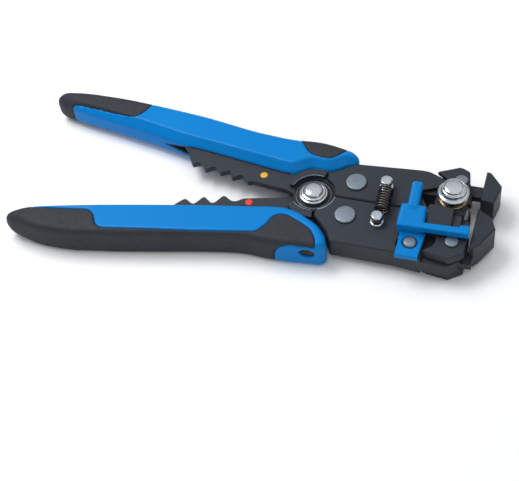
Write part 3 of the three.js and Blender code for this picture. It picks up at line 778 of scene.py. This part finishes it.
def make_spring():
    """An extension spring with a hook round the neck of each post."""
    lower = np.array(centre("lower_spring_post"))
    upper = np.array(centre("upper_spring_post"))
    start, end = lower[1] + COIL_GAPS[0], upper[1] - COIL_GAPS[1]
    path = hook(lower, LOWER_HOOK_START)
    steps = COIL_TURNS * STEPS_PER_TURN
    for step in range(steps + 1):
        s = step / steps
        angle = 2 * math.pi * COIL_TURNS * s
        path.append((
            lower[0] + (upper[0] - lower[0]) * s + COIL_SHIFT + COIL_RADIUS * math.cos(angle),
            start + (end - start) * s,
            COIL_HEIGHT + COIL_RADIUS * math.sin(angle),
        ))
    path += hook(upper, UPPER_HOOK_START)
    points, faces = tube(path, WIRE)
    spring = make_piece("return_spring_coil", points, faces, SPRING, None,
                        ["return_spring"], 60)
    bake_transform(spring)


HUB_RIM = 9.75            # radius of the edge of the round recess at the hub
HUB_FLOOR = 10.4
PLATE_TOP = 12.45
LOWER_SHOULDER_FOOT = 7.3
HUB_WASHER = 7.6
# How far each shoulder reaches out from the pivot, as (angle in degrees, radius).
UPPER_SHOULDER = [(76, 13.4), (100, 13.3), (130, 13.0), (150, 12.6), (168, 11.6)]
LOWER_SHOULDER = [(222, 12.6), (240, 13.2), (262, 13.4), (281, 13.6)]
SHOULDER_STEPS = 28


def shoulder(name, reaches, low, high, material, body):
    """A plate between the hub rim and an outer line, counter-clockwise about the pivot."""
    angles, radii = zip(*reaches)
    start, end = angles[0], angles[-1]
    inner_points, outer_points = [], []
    for step in range(SHOULDER_STEPS + 1):
        angle = start + (end - start) * step / SHOULDER_STEPS
        way = math.cos(math.radians(angle)), math.sin(math.radians(angle))
        reach = np.interp(angle, angles, radii)
        inner_points.append([HUB_RIM * part for part in way])
        outer_points.append([reach * part for part in way])
    line = inner_points + outer_points[::-1]
    count = len(line)
    points = [(x, y, low) for x, y in line] + [(x, y, high) for x, y in line]
    faces = []
    for k in range(SHOULDER_STEPS):
        quad = (k, k + 1, count - 2 - k, count - 1 - k)
        faces.append(quad)
        faces.append(tuple(q + count for q in quad[::-1]))
    for k in range(count):
        after = (k + 1) % count
        faces.append((k, after, after + count, k + count))    # these face inward
    return make_piece(name, points, faces, material, body)


def ring(name, radius, level, wire, start, end, material, body, slot):
    """A thin bright wire along the hub's rim, over a range of angles in degrees: a painted
    highlight where the edge catches the light.
    """
    steps = max(8, int(abs(end - start) / 4))
    path = []
    for step in range(steps + 1):
        angle = math.radians(start + (end - start) * step / steps)
        path.append((radius * math.cos(angle), radius * math.sin(angle), level))
    points, faces = tube(path, wire, 8)
    make_piece(name, points, faces, material, body, (), 60)


def make_hub():
    """The round recess about the main pivot, with a near-black disc in it as painted shade, its
    shoulders, and thin bright rings on its rim as painted highlights.
    """
    # A near-black disc just over the hub's floor: painted shade in the recess.
    turned("hub_painted_shade_disc", (0, 0), [
        (0, HUB_FLOOR + 0.03), (8.9, HUB_FLOOR + 0.03), (8.95, HUB_FLOOR + 0.09),
        (8.9, HUB_FLOOR + 0.15), (0, HUB_FLOOR + 0.17),
    ], RECESS_SHADE, "lower_handle", (), 0.02)
    shoulder("upper_hub_shoulder", UPPER_SHOULDER, HUB_FLOOR - 0.1, PLATE_TOP, STEEL,
             "upper_handle")
    shoulder("lower_hub_shoulder", LOWER_SHOULDER, LOWER_SHOULDER_FOOT, PLATE_TOP, STEEL,
             "lower_handle")
    # Thin bright rings on parts of the rim and round the washer are painted highlights.
    ring("upper_hub_rim_painted_highlight", HUB_RIM, PLATE_TOP, 0.17, 78, 166, SATIN, "upper_handle", "dark_steel")
    ring("lower_lever_rim_painted_highlight", HUB_RIM - 0.05, PLATE_TOP, 0.2, -66, -4, CHROME, "lower_lever",
         "dark_steel")
    ring("lower_hub_rim_painted_highlight", HUB_RIM, PLATE_TOP, 0.12, 224, 278, SATIN, "lower_handle", "dark_steel")
    ring("hub_washer_painted_highlight", HUB_WASHER, HUB_FLOOR + 0.17, 0.12, 0, 359.9, SATIN, "lower_handle",
         "dark_steel")


def make_marks():
    """Paint dots on the handle cores."""
    for name, at, level, material, body in (
        ("yellow_dot", (-24.4, 6.7), 10.4, YELLOW, "upper_handle"),
        ("red_dot", (-27.5, -7.2), 7.4, RED, "lower_handle"),
    ):
        turned(name, at, [
            (0, level - 0.2), (1.6, level - 0.2), (1.6, level + 0.06), (1.45, level + 0.14),
            (0, level + 0.16),
        ], material, body, (), 0.03)


# ---------------------------------------------------------------- length stop

STOP_SCREW = centre("length_stop_screw")
STOP_CLIP = [(41.3, -26.3), (41.0, -13.2), (51.6, -13.2), (50.7, -26.3)]
STOP_CLIP_LEVEL = (13.35, 0.75)    # middle height and half thickness
STOP_ARM = [(39.8, -15.2), (39.8, -12.4), (65, -11.4), (65.2, -10.2), (69, -10.0), (69.2, -14.4)]
STOP_ARM_LEVEL = (17.85, 1.65)
STOP_BLOCK_X = (39.6, 50.4)
STOP_TAB_X = (42.3, 47.0)
SCREW_SEAT = 3.35                  # radius of the sunk seat of the screw
SCREW_SEAT_FLOOR = 13.1
SCREW_HOLE = 1.6


def slab(x, y, z, low_edge, high_edge, x_range, y_range, thickness, radius):
    """A plate that rises with y, from low_edge to high_edge, rounded."""
    rise = math.atan2(high_edge - low_edge, y_range[1] - y_range[0])
    along = (y - y_range[0]) * math.cos(rise) + (z - low_edge) * math.sin(rise)
    across = -(y - y_range[0]) * math.sin(rise) + (z - low_edge) * math.cos(rise)
    length = math.hypot(high_edge - low_edge, y_range[1] - y_range[0])
    low, high = (x_range[0], 0, -thickness), (x_range[1], length, 0)
    return rounded_box(x, along, across, low, high, radius)


def level_plate(outline, level, x, y, z, softness):
    """A flat plate with an outline, at a middle height and with a half thickness."""
    middle, half = level
    return smooth_max(outline_distance(outline, x, y) + 0 * z, np.abs(z - middle) - half, softness)


def stop_field(x, y, z):
    """One blue moulding: clip, riser, block with a sloped face, arm with a nub, thumb tab."""
    left, right = STOP_BLOCK_X
    clip = level_plate(STOP_CLIP, STOP_CLIP_LEVEL, x, y, z, 0.35)
    lip = rounded_box(x, y, z, (41.3, -26.4, 11.6), (50.7, -25.8, 14.1), 0.25)
    riser = rounded_box(x, y, z, (left, -14.9, 12.6), (right, -4.8, 19.5), 1.1)
    face = slab(x, y, z, 19.4, 21.5, STOP_BLOCK_X, (-13.2, -4.8), 3.2, 1.2)
    arm = level_plate(STOP_ARM, STOP_ARM_LEVEL, x, y, z, 0.4)
    tab = slab(x, y, z, 21.5, 25.7, STOP_TAB_X, (-7.0, 4.2), 2.8, 1.38)
    body = smooth_min(riser, face, 1.0)
    body = smooth_min(body, arm, 0.5)
    body = smooth_min(body, tab, 0.9)
    body = smooth_min(body, smooth_min(clip, lip, 0.3), 0.7)
    screw = np.sqrt((x - STOP_SCREW[0]) ** 2 + (y - STOP_SCREW[1]) ** 2)
    body = smooth_max(body, -smooth_max(screw - SCREW_SEAT, SCREW_SEAT_FLOOR - z, 0.15), 0.25)
    return smooth_max(body, SCREW_HOLE - screw + 0 * z, 0.15)


def make_stop():
    points, faces = surface_of(stop_field, (38, -27, 11.3), (69.5, 5, 27), FINE_STEP)
    make_piece("length_stop_moulding", points, faces, BLUE, "length_stop_body",
               ["length_stop"], 60)


# ---------------------------------------------------------------- CAD nodes that stay

WELD_WITHIN = 0.005
FLAT_WITHIN = 0.8         # degrees between faces that count as one flat face
BEVEL_FROM = 28           # degrees at an edge from which it is rounded
BEVELS = {
    STEEL: {
        "lower_handle_core": 0.3, "upper_handle_core": 0.3, "lower_jaw_lever": 0.35,
        "upper_jaw_lever": 0.35, "lower_gripping_jaw": 0.4, "upper_gripping_jaw": 0.4,
        "tension_block": 0.35, "lower_blade_holder_near": 0.25, "lower_blade_holder_far": 0.25,
        "upper_blade_holder_near": 0.25, "upper_blade_holder_far": 0.25,
    },
    BLADE: {"lower_stripping_blade": 0.1, "upper_stripping_blade": 0.1},
    SATIN: {"jaw_pivot_pin": 0.2},
}


def finish_node(node, material, width):
    """A CAD node gets its look, and a small round on its edges."""
    piece = frame["nodes"][node]
    mesh = piece.data
    mesh.materials.clear()
    mesh.materials.append(material)
    if "custom_normal" in mesh.attributes:
        mesh.attributes.remove(mesh.attributes["custom_normal"])
    mesh.shade_smooth()
    weld = piece.modifiers.new("weld", "WELD")
    weld.merge_threshold = WELD_WITHIN * MM
    plain = piece.modifiers.new("plain", "DECIMATE")
    plain.decimate_type = "DISSOLVE"
    plain.angle_limit = math.radians(FLAT_WITHIN)
    bevel = piece.modifiers.new("bevel", "BEVEL")
    bevel.width = width * MM
    bevel.segments = 3
    bevel.limit_method = "ANGLE"
    bevel.angle_limit = math.radians(BEVEL_FROM)
    bevel.miter_outer = "MITER_ARC"
    bevel.use_clamp_overlap = True
    normals = piece.modifiers.new("normals", "WEIGHTED_NORMAL")
    normals.keep_sharp = True


def finish_nodes():
    for material, nodes in BEVELS.items():
        for node, width in nodes.items():
            finish_node(node, material, width)


# ---------------------------------------------------------------- floor, light and camera

FLOOR_SIZE = 4.0
FLOOR_DROP = 0.0002


def make_floor():
    mesh = bpy.data.meshes.new("floor")
    size = FLOOR_SIZE
    mesh.from_pydata([(-size, -size, 0), (size, -size, 0), (size, size, 0), (-size, size, 0)], [],
                     [(0, 1, 2, 3)])
    mesh.materials.append(floor_look())
    floor = bpy.data.objects.new("floor", mesh)
    floor.location.z = -FLOOR_DROP
    bpy.context.scene.collection.objects.link(floor)


def area_light(name, place, target, size, watts, tint=(1, 1, 1)):
    light = bpy.data.lights.new(name, "AREA")
    light.shape = "RECTANGLE"
    light.size, light.size_y = size
    light.energy = watts
    light.color = tint
    lamp = bpy.data.objects.new(name, light)
    lamp.location = place
    lamp.rotation_euler = (Vector(target) - Vector(place)).to_track_quat("-Z", "Y").to_euler()
    bpy.context.scene.collection.objects.link(lamp)


SKY_LOW, SKY_HIGH = 0.05, 0.85        # the sky brightens between these heights
SKY_DARK, SKY_BRIGHT = 0.03, 0.9
SKY_COLOUR = (0.96, 0.98, 1.0, 1.0)


def make_lights():
    area_light("key", (-0.3, 0.1, 0.6), (0, 0, 0), (0.36, 0.28), 2.6)
    area_light("left_fill", (-0.6, -0.15, 0.35), (0, 0, 0), (0.3, 0.3), 0.1, (0.9, 0.95, 1))
    area_light("right_fill", (0.5, -0.3, 0.25), (0.06, 0, 0), (0.2, 0.2), 0.15, (1, 0.9, 0.84))


def make_world():
    """A plain sky that is dark at the horizon and bright overhead."""
    world = bpy.data.worlds.new("studio")
    world.use_nodes = True
    background = world.node_tree.nodes["Background"]
    links = world.node_tree.links
    place = world.node_tree.nodes.new("ShaderNodeTexCoord")
    parts = world.node_tree.nodes.new("ShaderNodeSeparateXYZ")
    ramp = world.node_tree.nodes.new("ShaderNodeMapRange")
    ramp.inputs["From Min"].default_value = SKY_LOW
    ramp.inputs["From Max"].default_value = SKY_HIGH
    ramp.inputs["To Min"].default_value = SKY_DARK
    ramp.inputs["To Max"].default_value = SKY_BRIGHT
    links.new(place.outputs["Generated"], parts.inputs["Vector"])
    links.new(parts.outputs["Z"], ramp.inputs["Value"])
    links.new(ramp.outputs["Result"], background.inputs["Strength"])
    background.inputs["Color"].default_value = SKY_COLOUR
    bpy.context.scene.world = world


CAMERA_AZIMUTH = 23.66
CAMERA_ELEVATION = 51.37
CAMERA_ROLL = -8.97
CAMERA_LENS = 83.24
CAMERA_PLACE = Vector((0.13793, -0.31353, 0.40482))


def make_camera():
    camera = bpy.data.cameras.new("camera")
    camera.lens = CAMERA_LENS
    camera.sensor_width = 36.0
    camera.clip_start = 0.05
    holder = bpy.data.objects.new("camera", camera)
    a, e = math.radians(CAMERA_AZIMUTH), math.radians(CAMERA_ELEVATION)
    back = Vector((math.sin(a) * math.cos(e), -math.cos(a) * math.cos(e), math.sin(e)))
    turn = (-back).to_track_quat("-Z", "Y").to_matrix()
    roll = Matrix.Rotation(math.radians(CAMERA_ROLL), 3, "Z")
    holder.matrix_world = Matrix.Translation(CAMERA_PLACE) @ (turn @ roll).to_4x4()
    bpy.context.scene.collection.objects.link(holder)
    bpy.context.scene.camera = holder


make_handles()
make_fasteners()
make_spring()
make_hub()
make_marks()
make_stop()
finish_nodes()
make_floor()
make_lights()
make_world()
make_camera()
bpy.context.scene.view_settings.view_transform = "Standard"
